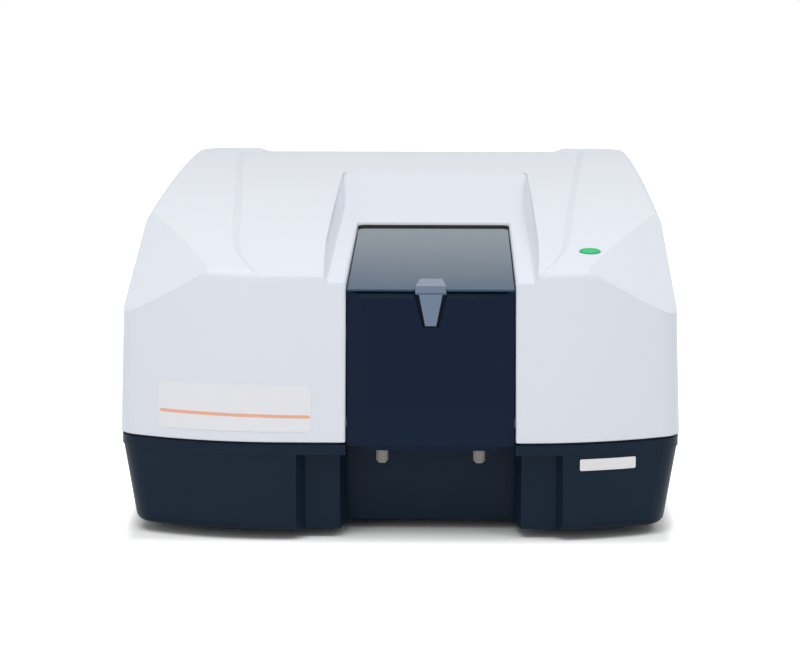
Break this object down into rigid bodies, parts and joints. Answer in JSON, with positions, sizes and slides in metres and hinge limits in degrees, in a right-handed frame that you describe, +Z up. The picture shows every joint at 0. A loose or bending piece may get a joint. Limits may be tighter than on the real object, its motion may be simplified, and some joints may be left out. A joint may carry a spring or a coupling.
{
  "type": "uv-vis spectrophotometer",
  "caption": "bench-top double-beam spectrophotometer with a hinged sample compartment lid, holders with cells, start button, rear fan and the optics inside",
  "frame": {"origin": "on the table under the middle of the instrument's bounding box", "axes": "+X right seen from the front, +Y from the front to the rear, +Z up"},
  "size_m": [0.462, 0.602, 0.2681],
  "materials": {
    "top_cover": "fine moulded satin",
    "base_pan": "fine moulded satin",
    "rubber_feet": "matt",
    "rear_panel": "fine powder coat",
    "rear_panel_screws": "zinc plated",
    "cover_screws": "zinc plated",
    "fan_frame": "satin",
    "fan_rotor": "satin",
    "fan_guard": "plated wire",
    "fan_screws": "zinc plated",
    "power_inlet": "satin",
    "power_switch_housing": "satin",
    "power_rocker": "polished",
    "usb_socket": "plated",
    "compartment_tub": "black anti-reflection coat",
    "beam_windows": "polished silica",
    "compartment_front_panel": "satin gloss",
    "thumbscrew_left": "knurled, nickel plated",
    "thumbscrew_right": "knurled, nickel plated",
    "lid_seal": "foam",
    "lid_shell": "satin gloss",
    "lid_liner": "matt black",
    "lid_handle": "satin",
    "lid_hinge_arms": "black",
    "lid_hinge_brackets": "black",
    "lid_hinge_pin": "ground",
    "cell_holder_base": "black anodised",
    "sample_cell_holder": "black anodised",
    "reference_cell_holder": "black anodised",
    "sample_cell": "polished silica",
    "sample_cell_cap": "white fluoropolymer",
    "reference_cell": "polished silica",
    "reference_cell_cap": "white fluoropolymer",
    "start_button": "translucent green",
    "start_button_switch": "satin",
    "optical_bench": "cast and machined",
    "bench_mounts": "matt",
    "bench_screws": "blackened",
    "lamp_housing": "zinc plated sheet",
    "deuterium_lamp": "silica bulb",
    "halogen_lamp": "silica capsule",
    "source_mirror": "polished",
    "source_mirror_base": "machined",
    "filter_wheel": "black anodised",
    "filter_wheel_motor": "black",
    "monochromator_casting": "cast",
    "monochromator_cover": "sheet",
    "entrance_slit": "blackened",
    "exit_slit": "blackened",
    "collimating_mirrors": "polished",
    "grating_turret": "machined",
    "grating": "ruled",
    "sector_mirror": "polished",
    "sector_mirror_motor": "black",
    "fold_mirror": "polished",
    "detector_housing": "black anodised",
    "detector_mirrors": "polished",
    "photomultiplier_tube": "glass tube",
    "power_supply": "zinc plated sheet",
    "main_board": "green solder mask"
  },
  "bodies": {
    "housing": {"top_cover": "top_cover", "base_pan": "base_pan", "rubber_feet": "rubber_feet", "rear_panel": "rear_panel", "rear_panel_screws": "rear_panel_screws", "cover_screws": "cover_screws", "fan_frame": "fan_frame", "fan_guard": "fan_guard", "fan_screws": "fan_screws", "power_inlet": "power_inlet", "power_switch_housing": "power_switch_housing", "usb_socket": "usb_socket", "compartment_tub": "compartment_tub", "beam_windows": "beam_windows", "compartment_front_panel": "compartment_front_panel", "lid_seal": "lid_seal", "lid_hinge_brackets": "lid_hinge_brackets", "lid_hinge_pin": "lid_hinge_pin", "cell_holder_base": "cell_holder_base", "sample_cell_holder": "sample_cell_holder", "reference_cell_holder": "reference_cell_holder", "start_button_switch": "start_button_switch", "optical_bench": "optical_bench", "bench_mounts": "bench_mounts", "bench_screws": "bench_screws", "lamp_housing": "lamp_housing", "deuterium_lamp": "deuterium_lamp", "halogen_lamp": "halogen_lamp", "source_mirror_base": "source_mirror_base", "filter_wheel_motor": "filter_wheel_motor", "monochromator_casting": "monochromator_casting", "monochromator_cover": "monochromator_cover", "entrance_slit": "entrance_slit", "exit_slit": "exit_slit", "collimating_mirrors": "collimating_mirrors", "sector_mirror_motor": "sector_mirror_motor", "fold_mirror": "fold_mirror", "detector_housing": "detector_housing", "detector_mirrors": "detector_mirrors", "photomultiplier_tube": "photomultiplier_tube", "power_supply": "power_supply", "main_board": "main_board"},
    "lid": {"lid_shell": "lid_shell", "lid_liner": "lid_liner", "lid_handle": "lid_handle", "lid_hinge_arms": "lid_hinge_arms"},
    "start_button_cap": {"start_button": "start_button"},
    "rocker": {"power_rocker": "power_rocker"},
    "fan": {"fan_rotor": "fan_rotor"},
    "left_thumbscrew": {"thumbscrew_left": "thumbscrew_left"},
    "right_thumbscrew": {"thumbscrew_right": "thumbscrew_right"},
    "sample_cuvette": {"sample_cell": "sample_cell", "sample_cell_cap": "sample_cell_cap"},
    "reference_cuvette": {"reference_cell": "reference_cell", "reference_cell_cap": "reference_cell_cap"},
    "lamp_selector": {"source_mirror": "source_mirror"},
    "filters": {"filter_wheel": "filter_wheel"},
    "grating_table": {"grating_turret": "grating_turret", "grating": "grating"},
    "beam_chopper": {"sector_mirror": "sector_mirror"}
  },
  "joints": [
    {"name": "lid_hinge", "type": "hinge", "parent": "housing", "child": "lid", "pos_m": [0.026, -0.088, 0.21873], "axis": [-1, 0, 0], "range_deg": [0, 80]},
    {"name": "start_button_travel", "type": "slide", "parent": "housing", "child": "start_button_cap", "axis": [0, 0.1459, -0.9893], "range_m": [0, 0.0015], "stiffness_N_per_m": 400, "springref_m": -0.001},
    {"name": "power_rocker_tilt", "type": "hinge", "parent": "housing", "child": "rocker", "pos_m": [0.092, 0.2922, 0.05], "axis": [1, 0, 0], "range_deg": [0, 16]},
    {"name": "fan_spin", "type": "hinge", "parent": "housing", "child": "fan", "pos_m": [-0.112, 0.28, 0.14], "axis": [0, 1, 0], "continuous": true},
    {"name": "thumbscrew_left_turn", "type": "hinge", "parent": "housing", "child": "left_thumbscrew", "pos_m": [-0.0135, -0.2825, 0.07], "axis": [0, 0, 1], "continuous": true},
    {"name": "thumbscrew_right_turn", "type": "hinge", "parent": "housing", "child": "right_thumbscrew", "pos_m": [0.0655, -0.2825, 0.07], "axis": [0, 0, 1], "continuous": true},
    {"name": "sample_cell_lift", "type": "slide", "parent": "housing", "child": "sample_cuvette", "axis": [0, 0, 1], "range_m": [0, 0.036]},
    {"name": "reference_cell_lift", "type": "slide", "parent": "housing", "child": "reference_cuvette", "axis": [0, 0, 1], "range_m": [0, 0.036]},
    {"name": "source_mirror_turn", "type": "hinge", "parent": "housing", "child": "lamp_selector", "pos_m": [-0.105, 0.21, 0.12], "axis": [0, 0, 1], "range_deg": [-12, 12]},
    {"name": "filter_wheel_turn", "type": "hinge", "parent": "housing", "child": "filters", "pos_m": [-0.083, 0.14, 0.128], "axis": [0, 1, 0], "continuous": true},
    {"name": "grating_turn", "type": "hinge", "parent": "housing", "child": "grating_table", "pos_m": [-0.15, 0.072, 0.1], "axis": [0, 0, 1], "range_deg": [-35, 35]},
    {"name": "sector_mirror_spin", "type": "hinge", "parent": "housing", "child": "beam_chopper", "pos_m": [-0.1375, -0.135, 0.154], "axis": [-0.7071, -0.7071, 0], "continuous": true}
  ]
}
